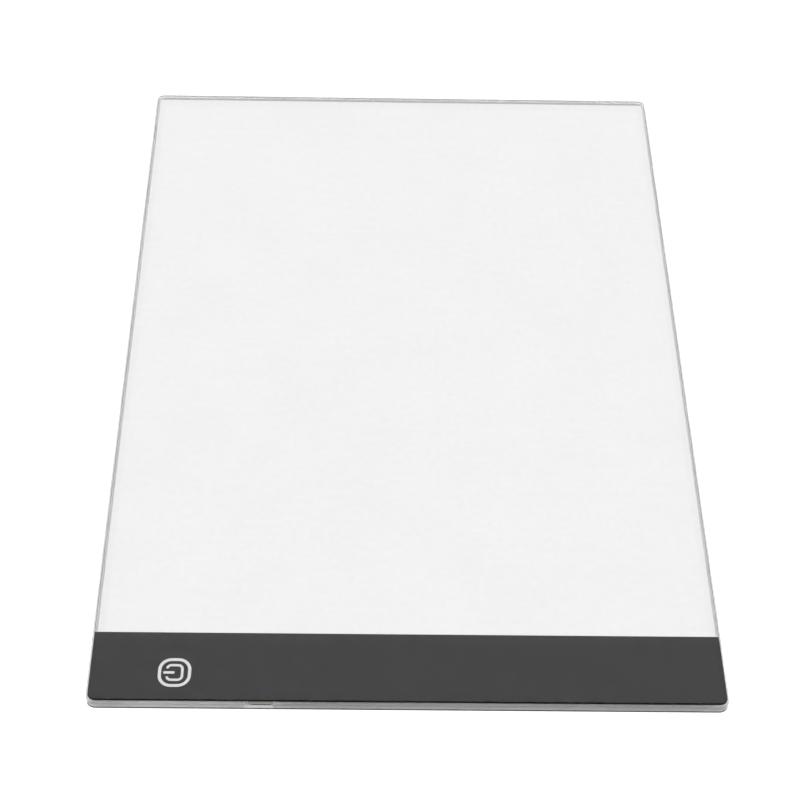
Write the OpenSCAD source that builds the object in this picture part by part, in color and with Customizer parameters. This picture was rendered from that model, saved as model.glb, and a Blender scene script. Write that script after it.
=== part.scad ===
// A4 edge-lit light box for tracing: a thin stack of clear and white sheets,
// lit from one end by a strip of LEDs under a black touch band.
// Frame: millimetres, +Z up, +Y away from the band, origin under the centre.

/* [Pad] */
// Width, side to side
pad_w = 235; // [225:1:260]
// Length, front edge to far edge
pad_l = 335; // [300:1:380]
// Radius of the four upright corners
corner_r = 3.6; // [3:0.1:8]
// Depth of the black control band, from the front edge
band_depth = 30; // [30:1:40]

/* [Sheets] */
// Thickness of the clear front cover
cover_t = 0.8; // [0.5:0.1:1.5]
// Thickness of the clear light guide and of the bar in front of it
guide_t = 3; // [3:0.1:4]
// Thickness of the white back sheet
back_t = 0.8; // [0.5:0.1:1.5]
// Thickness of the diffuser film and of the black mask beside it
film_t = 0.2; // [0.1:0.05:0.3]
// Thickness of the adhesive tapes and of the reflector film
tape_t = 0.1; // [0.1:0.05:0.2]
// How far the cover stands in from the clear edge
edge_step = 0.9; // [0.4:0.1:1.1]
// How far the white film stands in from the clear edge at the sides
film_inset = 1.9; // [1.3:0.1:2.3]
// How far the white film stands in from the clear edge at the far end
film_far_inset = 3.4; // [1.3:0.1:6]
// Height of the anti-slip pads
foot_h = 0.5; // [0.4:0.1:1]

/* [Lighting] */
// Number of LEDs on the strip
led_count = 36; // [12:2:36]
// Distance from one LED to the next
led_pitch = 6; // [5.5:0.1:6]

/* [Touch key] */
// Distance of the key's centre from the pad's centre line
key_x = -85.7; // [-90:0.1:-84]
// Size of the ring around the key
ring_size = 12.2; // [11:0.1:14]

/* [Hidden] */
$fn = 64;

// Heights of the sheets, from the table up
back_z = foot_h;
reflector_z = back_z + back_t;
guide_z = reflector_z + tape_t;
guide_top = guide_z + guide_t;
film_z = guide_top + tape_t;
cover_z = film_z + film_t;

// Distances along Y
front_y = -pad_l / 2;
band_y = front_y + band_depth;      // far edge of the black band
guide_y = band_y - 2.5;             // lit edge of the light guide
side_border = 4.5;                  // taped border at the sides, from the clear edge
far_border = 8;                     // taped border at the far edge
mask_gap = 0.05;                    // gap between butted films

// LED strip, standing on edge between the front bar and the light guide
led_size = [3, 0.8, 1.4];
led_gap = 0.1;                      // LED face to light guide
led_window = [2.4, 0.15, 1];        // recess that holds the phosphor
strip_end = 1.5;                    // board past the last LED at each end
strip_l = (led_count - 1) * led_pitch + led_size[0] + 2 * strip_end;
strip_t = 0.8;
strip_h = guide_t - 0.2;
strip_z = guide_z + 0.1;
strip_back_y = guide_y - led_gap - led_size[1] - strip_t;
slot_clear = 1;                     // slot past the board at each end
slot_depth = guide_y - strip_back_y + tape_t;
resistor_size = [1.6, 0.45, 0.8];

// Control board, hung under the mask with its parts facing down
board_size = [59, 16, 0.6];
board_tab = [9, 3.9];               // tongue of the board under the socket
board_x = key_x + 11.5;
board_y = front_y + 12.1;
board_z = guide_top - board_size[2];
pocket_margin = 1.2;
key_y = front_y + 12.7;
electrode_d = 12;
electrode_t = 0.05;

// Micro USB receptacle, hung under the board with its mouth in the front edge
usb_x = key_x + 32;
usb_w = 7.5;
usb_h = 2.45;
usb_l = 5;
usb_wall = 0.25;
usb_chamfer = 0.8;
usb_lip = 0.3;                      // sideways flare of the mouth
usb_lip_l = 0.5;
usb_recess = 1;                     // mouth behind the front edge
usb_y = front_y + usb_recess;
usb_leg = [0.6, 0.8];               // solder tabs along the shell's sides
usb_leg_at = [2, 4];                // their distances behind the mouth
notch_w = 10.7;
notch_shift = -0.7;                 // the notch gives the socket more room on its left
tongue_size = [3.9, 3.4, 0.6];
block_l = 1.1;                      // moulded block behind the tongue
contact_pitch = 0.65;
contact_size = [0.3, 3, 0.1];
tongue_drop = 0.75;                 // from the board to the tongue

// Wires from the control board to the back of the LED strip
wire_d = 0.9;
wire_gap = 2.2;
wire_x = board_x + 25.5;
wire_z = guide_z + 0.9;
groove_w = 6;                       // groove in the bar's underside for the wires
groove_h = 2;
joint_h = 0.5;
joint_d = 1.5;
joint_y = board_y + 6;

foot_d = 10;
foot_inset = 14;
foot_chamfer = 0.15;

// Touch key artwork
ring_w = 1.2;
ring_r = 4.9;
mark_size = [6.6, 7.2];
mark_w = 1;
mark_r = 2.1;
mark_end = 22;                      // where the open C stops, degrees up its left corners
bar_size = [4.1, 1.05];
bar_r = 0.3;

// ---- outlines ------------------------------------------------------------

module round_rect(w, l, r) {
    square([w - 2 * r, l], center = true);
    square([w, l - 2 * r], center = true);
    for (sx = [-1, 1], sy = [-1, 1])
        translate([sx * (w / 2 - r), sy * (l / 2 - r)]) circle(r);
}

// The pad's outline, drawn in by inset on every side
module outline(inset = 0) {
    round_rect(pad_w - 2 * inset, pad_l - 2 * inset, corner_r - inset);
}

// A band across the pad from one Y to another
module strip_between(y0, y1) {
    translate([-pad_w / 2, y0]) square([pad_w, y1 - y0]);
}

module front_of(y, inset = 0) {
    intersection() {
        outline(inset);
        strip_between(front_y, y);
    }
}

module behind(y, inset = 0) {
    intersection() {
        outline(inset);
        strip_between(y, -front_y);
    }
}

// Slot between the bar and the light guide for the LED strip
module slot_shape() {
    translate([-strip_l / 2 - slot_clear, guide_y - slot_depth])
        square([strip_l + 2 * slot_clear, slot_depth]);
}

// Pocket that the control board hangs in
module pocket_shape() {
    size = [board_size[0] + 2 * pocket_margin, board_size[1] + 2 * pocket_margin];
    translate([board_x, board_y]) round_rect(size[0], size[1], 1.5);
}

// Notch in the front edge that opens the pocket for the socket
module notch_shape() {
    translate([usb_x + notch_shift - notch_w / 2, front_y]) square([notch_w, board_y - front_y]);
}

// What the tape frames leave free over the LED strip and the lit area
module window_shape() {
    half = pad_w / 2 - side_border;
    translate([-half, guide_y - slot_depth])
        square([2 * half, -front_y - far_border - guide_y + slot_depth]);
}

// ---- touch key artwork ---------------------------------------------------

module ring_shape() {
    difference() {
        round_rect(ring_size, ring_size, ring_r);
        round_rect(ring_size - 2 * ring_w, ring_size - 2 * ring_w, ring_r - ring_w);
    }
}

// A letter C, open on the left, with a bar that runs into it
module mark_shape() {
    c = [mark_size[0] / 2 - mark_r, mark_size[1] / 2 - mark_r];
    cut = mark_size[0] * [cos(mark_end), sin(mark_end)];
    tip = (mark_r - mark_w / 2) * [cos(mark_end), sin(mark_end)];
    difference() {
        round_rect(mark_size[0], mark_size[1], mark_r);
        round_rect(mark_size[0] - 2 * mark_w, mark_size[1] - 2 * mark_w, mark_r - mark_w);
        polygon([
            [-c[0], c[1]], [-c[0] - cut[0], c[1] + cut[1]],
            [-c[0] - cut[0], -c[1] - cut[1]], [-c[0], -c[1]]
        ]);
    }
    for (side = [-1, 1]) translate([-c[0] - tip[0], side * (c[1] + tip[1])]) circle(mark_w / 2);
    translate([-bar_size[0] / 2, 0]) round_rect(bar_size[0], bar_size[1], bar_r);
}

module at_key() {
    translate([key_x, key_y, film_z]) children();
}

// ---- sheets --------------------------------------------------------------

module cover_sheet() {
    color([0.93, 0.95, 0.95, 0.3])
        translate([0, 0, cover_z]) linear_extrude(cover_t) outline(edge_step);
}

module band_mask() {
    color([0.05, 0.05, 0.05]) difference() {
        translate([0, 0, film_z]) linear_extrude(film_t) front_of(band_y, edge_step);
        at_key() translate([0, 0, -1]) linear_extrude(film_t + 2) {
            ring_shape();
            mark_shape();
        }
    }
}

module touch_ring() {
    color([0.92, 0.92, 0.92]) at_key() linear_extrude(film_t) ring_shape();
}

module power_mark() {
    color([0.92, 0.92, 0.92]) at_key() linear_extrude(film_t) mark_shape();
}

module diffuser_film() {
    color([0.95, 0.95, 0.95])
        translate([0, 0, film_z]) linear_extrude(film_t) intersection() {
            outline(film_inset);
            strip_between(band_y + mask_gap, -front_y - film_far_inset);
        }
}

module tape_frame(z) {
    translate([0, 0, z]) linear_extrude(tape_t) difference() {
        outline(film_inset);
        window_shape();
        pocket_shape();
        notch_shape();
    }
}

module front_tape() {
    color([0.85, 0.87, 0.85]) tape_frame(guide_top);
}

module back_tape() {
    color([0.85, 0.87, 0.85]) tape_frame(reflector_z);
}

module light_guide() {
    color([0.9, 0.94, 0.94, 0.35])
        translate([0, 0, guide_z]) linear_extrude(guide_t) behind(guide_y);
}

module front_bar() {
    color([0.9, 0.94, 0.94, 0.35])
        difference() {
            translate([0, 0, guide_z]) linear_extrude(guide_t) difference() {
                front_of(guide_y);
                slot_shape();
                pocket_shape();
                notch_shape();
            }
            translate([wire_x - groove_w / 2, board_y, guide_z - 1])
                cube([groove_w, guide_y - board_y, groove_h + 1]);
        }
}

module reflector_film() {
    gap = 0.5;
    half = pad_w / 2 - side_border - gap;
    color([0.97, 0.97, 0.97]) translate([-half, guide_y, reflector_z])
        cube([2 * half, -front_y - far_border - gap - guide_y, tape_t]);
}

module back_sheet() {
    color([0.9, 0.9, 0.9])
        translate([0, 0, back_z]) linear_extrude(back_t) outline();
}

module anti_slip_pads() {
    color([0.75, 0.76, 0.76])
        for (sx = [-1, 1], sy = [-1, 1])
            translate([sx * (pad_w / 2 - foot_inset), sy * (pad_l / 2 - foot_inset)]) {
                cylinder(h = foot_chamfer, d1 = foot_d - 2 * foot_chamfer, d2 = foot_d);
                translate([0, 0, foot_chamfer]) cylinder(h = foot_h - foot_chamfer, d = foot_d);
            }
}

// ---- LED strip -----------------------------------------------------------

// Runs its children at every LED, centred in X and Z on the strip's front face
module at_leds() {
    for (i = [0 : led_count - 1])
        translate([(i - (led_count - 1) / 2) * led_pitch, strip_back_y + strip_t, strip_z + strip_h / 2])
            children();
}

// Runs its children in every second gap between two LEDs
module at_led_gaps() {
    for (i = [0 : 2 : led_count - 2])
        translate([(i - led_count / 2 + 1) * led_pitch, strip_back_y + strip_t, strip_z + strip_h / 2])
            children();
}

module led_board() {
    color([0.93, 0.93, 0.9]) translate([-strip_l / 2, strip_back_y, strip_z])
        cube([strip_l, strip_t, strip_h]);
}

module led_packages() {
    color([0.96, 0.96, 0.93]) at_leds() difference() {
        translate([-led_size[0] / 2, 0, -led_size[2] / 2]) cube(led_size);
        translate([-led_window[0] / 2, led_size[1] - led_window[1], -led_window[2] / 2])
            cube([led_window[0], 2 * led_window[1], led_window[2]]);
    }
}

module led_phosphors() {
    color([0.95, 0.8, 0.2]) at_leds()
        translate([-led_window[0] / 2, led_size[1] - led_window[1], -led_window[2] / 2])
            cube(led_window);
}

// The middle of a chip part with its back at the origin; its caps take the ends
module chip_body(size, cap) {
    translate([cap - size[0] / 2, 0, -size[2] / 2])
        cube([size[0] - 2 * cap, size[1], size[2]]);
}

module chip_caps(size, cap) {
    for (x = [-size[0] / 2, size[0] / 2 - cap])
        translate([x, 0, -size[2] / 2]) cube([cap, size[1], size[2]]);
}

module led_resistors() {
    color([0.1, 0.1, 0.1]) at_led_gaps() chip_body(resistor_size, chip_cap);
}

module led_strip_tape() {
    clear = groove_w / 2 + 0.5;
    z = [strip_z + 0.2, strip_h - 0.4];
    color([0.9, 0.9, 0.86]) {
        translate([-strip_l / 2, strip_back_y - tape_t, z[0]])
            cube([wire_x - clear + strip_l / 2, tape_t, z[1]]);
        translate([wire_x + clear, strip_back_y - tape_t, z[0]])
            cube([strip_l / 2 - wire_x - clear, tape_t, z[1]]);
    }
}

// ---- control board -------------------------------------------------------

chip_at = [key_x + 12, board_y - 1];
chip_size = [4.9, 3.9, 1.4];
transistor_at = [wire_x - 6, board_y + 3.5];
transistor_size = [2.9, 1.3, 1];
standoff = 0.1;
lead_w = 0.4;
lead_t = 0.15;
lead_foot = 0.6;
lead_out = 1;
tantalum_size = [3.2, 1.6, 1.6];
tantalum_at = [usb_x - 9.5, board_y + 1];
tantalum_cap = [0.8, 1.2];
chip_part = [1.6, 0.8, 0.8];
flat_resistor = [chip_part[0], resistor_size[1], chip_part[2]];
chip_cap = 0.3;
// Places of the small parts, from the middle of the touch chip
capacitor_at = [[-5, 5], [3, 5.5], [8, 4.6], [8, -1]];
resistor_at = [[-5, -2.5], [-5, -4], [8, 1.5], [14.5, 5.8], [11.5, -3.8]];

// Turns a part modelled standing on the XY plane so that it hangs under the board
module under_board(at) {
    translate([at[0], at[1], board_z]) mirror([0, 0, 1]) children();
}

module control_board() {
    color([0.93, 0.94, 0.9]) translate([board_x, board_y, board_z])
        linear_extrude(board_size[2]) {
            round_rect(board_size[0], board_size[1], 1);
            translate([usb_x - board_x - board_tab[0] / 2, -board_size[1] / 2 - board_tab[1]])
                square([board_tab[0], 2 * board_tab[1]]);
        }
}

module board_tape() {
    color([0.85, 0.87, 0.85]) translate([board_x, board_y, guide_top])
        linear_extrude(tape_t) difference() {
            square([board_size[0] - 3, board_size[1] - 3], center = true);
            translate([key_x - board_x, key_y - board_y]) circle(d = electrode_d + 0.6);
        }
}

module touch_electrode() {
    color([0.85, 0.5, 0.3]) translate([key_x, key_y, guide_top])
        cylinder(h = electrode_t, d = electrode_d);
}

// A bent lead: a foot on the board, a riser and a short arm into the body
module gull_lead(arm_z) {
    rotate([90, 0, 90]) translate([0, 0, -lead_w / 2]) linear_extrude(lead_w)
        polygon([
            [lead_out, 0], [lead_out, lead_t], [lead_out - lead_foot + lead_t, lead_t],
            [lead_out - lead_foot + lead_t, arm_z + lead_t], [0, arm_z + lead_t], [0, arm_z],
            [lead_out - lead_foot, arm_z], [lead_out - lead_foot, 0]
        ]);
}

module block(size) {
    translate([-size[0] / 2, -size[1] / 2, standoff]) cube([size[0], size[1], size[2]]);
}

module touch_chip() {
    color([0.08, 0.08, 0.08]) under_board(chip_at) block(chip_size);
}

module touch_chip_leads() {
    color([0.8, 0.8, 0.82]) under_board(chip_at)
        for (side = [0, 180], i = [-1.5 : 1.5])
            rotate(side) translate([i * 1.27, chip_size[1] / 2, 0]) gull_lead(0.6);
}

module driver_transistor() {
    color([0.08, 0.08, 0.08]) under_board(transistor_at) block(transistor_size);
}

module driver_transistor_leads() {
    color([0.8, 0.8, 0.82]) under_board(transistor_at) {
        for (x = [-0.95, 0.95]) translate([x, transistor_size[1] / 2, 0]) gull_lead(0.4);
        rotate(180) translate([0, transistor_size[1] / 2, 0]) gull_lead(0.4);
    }
}

// Chip parts lie flat: their back is turned from -Y to the board
module flat_on_board(at) {
    under_board(chip_at + at) rotate([90, 0, 0]) children();
}

module ceramic_capacitors() {
    color([0.72, 0.6, 0.42])
        for (at = capacitor_at) flat_on_board(at) chip_body(chip_part, chip_cap);
}

module chip_resistors() {
    color([0.1, 0.1, 0.1])
        for (at = resistor_at) flat_on_board(at) chip_body(flat_resistor, chip_cap);
}

module bulk_capacitor() {
    color([0.9, 0.7, 0.2]) under_board(tantalum_at)
        translate([-tantalum_size[0] / 2, -tantalum_size[1] / 2, lead_t]) cube(tantalum_size);
}

module chip_end_caps() {
    color([0.8, 0.8, 0.82]) {
        for (at = capacitor_at) flat_on_board(at) chip_caps(chip_part, chip_cap);
        for (at = resistor_at) flat_on_board(at) chip_caps(flat_resistor, chip_cap);
        at_led_gaps() chip_caps(resistor_size, chip_cap);
        under_board(tantalum_at) for (side = [-1, 1])
            translate([side * (tantalum_size[0] - tantalum_cap[0]) / 2, 0, lead_t / 2])
                cube([tantalum_cap[0], tantalum_cap[1], lead_t], center = true);
    }
}

// ---- USB receptacle ------------------------------------------------------

// Front view of the shell: wide at the open side, chamfered towards the board
module usb_profile(w, h, chamfer) {
    polygon([
        [-w / 2, h], [w / 2, h], [w / 2, chamfer + 0.35],
        [w / 2 - chamfer, 0], [chamfer - w / 2, 0], [-w / 2, chamfer + 0.35]
    ]);
}

// Extrudes a front view back into the pad, from y0 behind the mouth
module usb_prism(y0, l) {
    translate([usb_x, usb_y + y0, board_z]) mirror([0, 0, 1])
        translate([0, l, 0]) rotate([90, 0, 0]) linear_extrude(l) children();
}

module usb_inside() {
    translate([0, usb_wall]) usb_profile(usb_w - 2 * usb_wall, usb_h - 2 * usb_wall, usb_chamfer);
}

module usb_shell() {
    color([0.78, 0.78, 0.8]) difference() {
        union() {
            usb_prism(0, usb_l) usb_profile(usb_w, usb_h, usb_chamfer);
            usb_prism(0, usb_lip_l) usb_profile(usb_w + 2 * usb_lip, usb_h, usb_chamfer);
            for (y = usb_leg_at) usb_prism(y, usb_leg[1])
                translate([-usb_w / 2 - usb_leg[0], 0])
                    square([usb_w + 2 * usb_leg[0], usb_wall]);
        }
        usb_prism(-1, usb_l + 2) usb_inside();
    }
}

module usb_insulator() {
    color([0.1, 0.1, 0.1]) {
        usb_prism(usb_l - block_l, block_l) usb_inside();
        usb_prism(usb_l - block_l - tongue_size[1], tongue_size[1])
            translate([-tongue_size[0] / 2, tongue_drop]) square([tongue_size[0], tongue_size[2]]);
    }
}

module usb_contacts() {
    color([0.85, 0.7, 0.35]) for (i = [-2 : 2]) {
        usb_prism(usb_l - block_l - contact_size[1], contact_size[1])
            translate([i * contact_pitch - contact_size[0] / 2, tongue_drop + tongue_size[2]])
                square([contact_size[0], contact_size[2]]);
        usb_prism(usb_l, 1)
            translate([i * contact_pitch - contact_size[0] / 2, 0])
                square([contact_size[0], contact_size[2]]);
    }
}

// ---- wires ---------------------------------------------------------------

module rod(a, b, d) {
    v = b - a;
    translate(a) rotate([0, acos(v[2] / norm(v)), atan2(v[1], v[0])]) cylinder(h = norm(v), d = d);
}

// A wire from a pad under the control board to a pad on the LED strip's back
module led_wire(x) {
    route = [
        [x, joint_y, board_z - joint_h],
        [x, joint_y, wire_z],
        [x, strip_back_y - joint_h, wire_z]
    ];
    for (i = [0 : len(route) - 2]) rod(route[i], route[i + 1], wire_d);
    translate(route[1]) sphere(d = wire_d);
}

module led_wire_red() {
    color([0.75, 0.1, 0.08]) led_wire(wire_x - wire_gap / 2);
}

module led_wire_black() {
    color([0.08, 0.08, 0.08]) led_wire(wire_x + wire_gap / 2);
}

module solder_joints() {
    color([0.75, 0.75, 0.77]) for (side = [-1, 1])
        translate([wire_x + side * wire_gap / 2, 0, 0]) {
            translate([0, joint_y, board_z - joint_h])
                cylinder(h = joint_h, d1 = wire_d, d2 = joint_d);
            translate([0, strip_back_y, wire_z]) rotate([90, 0, 0])
                cylinder(h = joint_h, d1 = joint_d, d2 = wire_d);
        }
}

// ---- assembly ------------------------------------------------------------

cover_sheet();
band_mask();
touch_ring();
power_mark();
diffuser_film();
front_tape();
light_guide();
front_bar();
reflector_film();
back_tape();
back_sheet();
anti_slip_pads();
led_board();
led_packages();
led_phosphors();
led_resistors();
led_strip_tape();
control_board();
board_tape();
touch_electrode();
touch_chip();
touch_chip_leads();
driver_transistor();
driver_transistor_leads();
ceramic_capacitors();
chip_resistors();
bulk_capacitor();
chip_end_caps();
usb_shell();
usb_insulator();
usb_contacts();
led_wire_red();
led_wire_black();
solder_joints();
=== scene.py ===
"""Looks of the A4 light box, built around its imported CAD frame. Metres, +Z up, +Y away from the band."""

import math

import bmesh
import bpy
from mathutils import Matrix, Vector
from mathutils.geometry import tessellate_polygon


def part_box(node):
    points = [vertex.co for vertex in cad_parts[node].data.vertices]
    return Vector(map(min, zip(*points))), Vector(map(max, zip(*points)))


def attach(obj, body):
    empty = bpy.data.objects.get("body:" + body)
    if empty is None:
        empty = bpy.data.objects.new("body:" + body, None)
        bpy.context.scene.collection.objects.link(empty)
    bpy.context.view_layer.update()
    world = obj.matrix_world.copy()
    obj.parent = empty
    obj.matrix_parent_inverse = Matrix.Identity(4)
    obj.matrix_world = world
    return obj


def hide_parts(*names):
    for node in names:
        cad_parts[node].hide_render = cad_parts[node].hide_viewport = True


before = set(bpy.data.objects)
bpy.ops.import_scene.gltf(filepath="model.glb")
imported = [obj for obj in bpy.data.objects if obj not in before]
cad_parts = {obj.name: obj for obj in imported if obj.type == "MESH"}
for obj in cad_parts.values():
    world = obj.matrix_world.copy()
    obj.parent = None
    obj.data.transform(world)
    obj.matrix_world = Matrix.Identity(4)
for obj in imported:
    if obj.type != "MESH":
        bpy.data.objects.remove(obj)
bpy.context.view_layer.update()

MM = 0.001
AIR = 0.02 * MM          # gap left between stacked sheets, so that no two faces share a plane
BODY = "root"


# ---- places, read from the frame --------------------------------------------

def islands(node):
    """The box (lowest, highest corner) of each separate solid of a CAD node."""
    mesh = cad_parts[node].data
    group = {}

    def find(key):
        while group.setdefault(key, key) != key:
            key = group[key]
        return key

    def key_of(index):
        return tuple(round(c * 1e7) for c in mesh.vertices[index].co)

    for polygon in mesh.polygons:
        first = find(key_of(polygon.vertices[0]))
        for index in polygon.vertices[1:]:
            group[find(key_of(index))] = first
    solids = {}
    for vertex in mesh.vertices:
        solids.setdefault(find(key_of(vertex.index)), []).append(vertex.co)
    corners = [[pick(c[i] for c in cos) for pick in (min, max) for i in range(3)] for cos in solids.values()]
    return [(Vector(c[:3]), Vector(c[3:])) for c in sorted(corners)]


GUIDE_LO, GUIDE_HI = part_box("light_guide")
BAR_LO, BAR_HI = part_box("front_bar")
COVER_LO, COVER_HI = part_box("cover_sheet")
MASK_LO, MASK_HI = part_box("band_mask")
FILM_LO, FILM_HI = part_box("diffuser_film")
BACK_LO, BACK_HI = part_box("back_sheet")
RING_LO, RING_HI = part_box("touch_ring")
BOARD_LO, BOARD_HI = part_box("control_board")
SHELL_LO, SHELL_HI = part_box("usb_shell")
STRIP_LO, STRIP_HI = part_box("led_board")
STRIP_TAPE_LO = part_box("led_strip_tape")[0]
REFLECTOR_LO, REFLECTOR_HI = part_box("reflector_film")

EDGE_STEP = COVER_LO.x - BACK_LO.x       # the cover stands in by this much
FILM_INSET = FILM_LO.x - BACK_LO.x       # and the white film by this much
CORNER_R = 3.6 * MM
USB_X = (SHELL_LO.x + SHELL_HI.x) / 2
BOARD_DEPTH = 16 * MM                    # the control board without its tongue
BOARD_TAB = 9 * MM                       # the width of its tongue under the socket
POCKET_MARGIN = 1.2 * MM
POCKET_R = 1.5 * MM
NOTCH = (USB_X - 6.05 * MM, USB_X + 4.65 * MM)   # its two sides; the socket is off its middle
SLOT_HALF = STRIP_HI.x + 1 * MM
WIRES_X = (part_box("led_wire_red")[0].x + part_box("led_wire_black")[1].x) / 2
GROOVE = (WIRES_X - 3 * MM, WIRES_X + 3 * MM)    # in the bar's underside, for the wires
GROOVE_H = 2 * MM
TAPE_SIDE = 4.5 * MM                     # how far the tape frames reach in from the pad's sides
TAPE_FAR = 8 * MM                        # and from its far end
WINDOW_HALF = BACK_HI.x - TAPE_SIDE
WINDOW_FAR = BACK_HI.y - TAPE_FAR
KEY = ((RING_LO.x + RING_HI.x) / 2, (RING_LO.y + RING_HI.y) / 2)


# ---- flat outlines ----------------------------------------------------------

def arc(centre, r, start, stop, steps):
    """Points on an arc, angles in radians, both ends included."""
    angles = [start + (stop - start) * i / steps for i in range(steps + 1)]
    return [(centre[0] + r * math.cos(a), centre[1] + r * math.sin(a)) for a in angles]


def filleted(corners, steps=8):
    """A polygon from corners (x, y) or (x, y, radius), its corners rounded where they have a radius."""
    points = []
    for i, corner in enumerate(corners):
        here = Vector(corner[:2])
        r = corner[2] if len(corner) > 2 else 0
        if not r:
            points.append(tuple(here))
            continue
        back = (Vector(corners[i - 1][:2]) - here).normalized()
        on = (Vector(corners[(i + 1) % len(corners)][:2]) - here).normalized()
        half = back.angle(on) / 2
        centre = here + (back + on).normalized() * (r / math.sin(half))
        first, last = here + back * (r / math.tan(half)) - centre, here + on * (r / math.tan(half)) - centre
        start = math.atan2(first.y, first.x)
        turn = (math.atan2(last.y, last.x) - start + math.pi) % (2 * math.pi) - math.pi
        points += arc(centre, r, start, start + turn, steps)
    return points


def rounded(lo, hi, r, steps=8):
    """A rounded rectangle. r: one radius, or one for each corner from the lower left on."""
    radii = r if isinstance(r, tuple) else (r,) * 4
    corners = ((lo[0], lo[1]), (hi[0], lo[1]), (hi[0], hi[1]), (lo[0], hi[1]))
    return filleted([(x, y, radius) for (x, y), radius in zip(corners, radii)], steps)


def hole(points):
    """The same outline the other way round, which makes it a hole."""
    return points[::-1]


def circle(centre, r, steps):
    """Points on a circle."""
    return arc(centre, r, 0, 2 * math.pi, steps)[:-1]


def inset(points, by):
    """The outline moved to its left, into the solid, by a small distance."""
    if not by:
        return points
    out = []
    for i, p in enumerate(points):
        here = Vector(p)
        into = (here - Vector(points[i - 1])).normalized()
        away = (Vector(points[(i + 1) % len(points)]) - here).normalized()
        side = Vector((-into.y, into.x))
        normal = (side + Vector((-away.y, away.x))).normalized()
        out.append(tuple(here + normal * (by / max(0.3, normal.dot(side)))))
    return out


def outline(by=0.0):
    """The pad's outline, drawn in by that much."""
    return rounded((BACK_LO.x + by, BACK_LO.y + by), (BACK_HI.x - by, BACK_HI.y - by), CORNER_R - by, 12)


def front_path(y, left, right, far):
    """Corners of an outline whose front edge, at y, opens through the notch into the board's pocket."""
    x0, x1 = BOARD_LO.x - POCKET_MARGIN, BOARD_HI.x + POCKET_MARGIN
    y0, y1 = BOARD_HI.y - BOARD_DEPTH - POCKET_MARGIN, BOARD_HI.y + POCKET_MARGIN
    r = CORNER_R - (left - BACK_LO.x)
    return [
        (left, y, r), (NOTCH[0], y), (NOTCH[0], y0), (x0, y0, POCKET_R), (x0, y1, POCKET_R),
        (x1, y1, POCKET_R), (x1, y0, POCKET_R), (NOTCH[1], y0), (NOTCH[1], y), (right, y, r), *far,
    ]


# ---- solids in a bmesh ------------------------------------------------------

def rim(z0, z1, bevel, steps=2):
    """The profile of a slab with rounded rims: (inset, height) from its bottom face to its top face."""
    if not bevel:
        return [(0, z0), (0, z1)]
    turn = [math.pi / 2 * k / steps for k in range(steps + 1)]
    low = [(bevel * (1 - math.sin(t)), z0 + bevel * (1 - math.cos(t))) for t in turn]
    return low + [(by, z0 + z1 - z) for by, z in reversed(low)]


def add_solid(bm, loops, profile, place=None, slots=(0, 0, 0)):
    """An outline with holes, extruded along a profile.
    slots: the materials of the bottom, the walls and the top."""
    place = place or Matrix.Identity(4)
    rings = [[[Vector((x, y, z)) for x, y in inset(loop, by)] for loop in loops] for by, z in profile]
    verts = [[[bm.verts.new(place @ p) for p in loop] for loop in ring] for ring in rings]
    for lower, upper in zip(verts, verts[1:]):
        for a, b in zip(lower, upper):
            add_band(bm, a, b, slots[1])
    for end, slot in ((0, slots[0]), (-1, slots[2])):
        flat = [v for loop in verts[end] for v in loop]
        for corners in tessellate_polygon(rings[end]):
            bm.faces.new([flat[i] for i in corners]).material_index = slot


def add_band(bm, a, b, slot):
    """Faces between two closed rings of vertices."""
    for i in range(len(a)):
        j = (i + 1) % len(a)
        face = bm.faces.new((a[i], a[j], b[j], b[i]))
        face.smooth = True
        face.material_index = slot


def add_skin(bm, rings, slot=0, closed=False):
    """A skin through rings of points. Its two ends are capped, unless the last ring joins the first."""
    made = [[bm.verts.new(p) for p in ring] for ring in rings]
    for a, b in zip(made, made[1:] + made[:1] if closed else made[1:]):
        add_band(bm, a, b, slot)
    if not closed:
        bm.faces.new(made[0]).material_index = slot
        bm.faces.new(made[-1]).material_index = slot


def add_turned(bm, place, profile, steps=48, slot=0):
    """A turned solid, from its profile (radius, height)."""
    rings = [[place @ Vector((x, y, z)) for x, y in circle((0, 0), r, steps)] for r, z in profile]
    add_skin(bm, rings, slot)


def add_wire(bm, path, r):
    """A round wire along a path that lies in a plane of constant X."""
    rings = []
    for i, p in enumerate(path):
        along = (path[min(i + 1, len(path) - 1)] - path[max(i - 1, 0)]).normalized()
        side = Vector((1, 0, 0))
        rings.append([p + side * x + side.cross(along) * y for x, y in circle((0, 0), r, 16)])
    add_skin(bm, rings)


def add_block(bm, lo, hi, bevel, slot=0, steps=2, shrink=0.0):
    """A box with rounded edges. shrink: how much smaller it is made on every side."""
    lo, hi = lo + Vector((shrink,) * 3), hi - Vector((shrink,) * 3)
    bevel = min(bevel, min(hi - lo) * 0.3)
    add_solid(bm, [rounded(lo, hi, bevel, 3)], rim(lo.z, hi.z, bevel * 0.9, steps), slots=(slot,) * 3)


def facing_front(x, y, z):
    """A place whose X is +X, Y is -Z and Z is +Y: for outlines drawn as seen from the front, upside down."""
    return Matrix.Translation((x, y, z)) @ Matrix.Rotation(-math.pi / 2, 4, "X")


def hanging(x, y, z, side):
    """A place on the underside of a board, for a profile drawn outwards and away from the board.
    Its X is +Y or -Y, by side, its Y is -Z, and its Z is +X."""
    turn = Matrix(((0, 0, 1, 0), (side, 0, 0, 0), (0, -1, 0, 0), (0, 0, 0, 1)))
    return Matrix.Translation((x, y, z)) @ turn


# ---- node materials ---------------------------------------------------------

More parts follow.
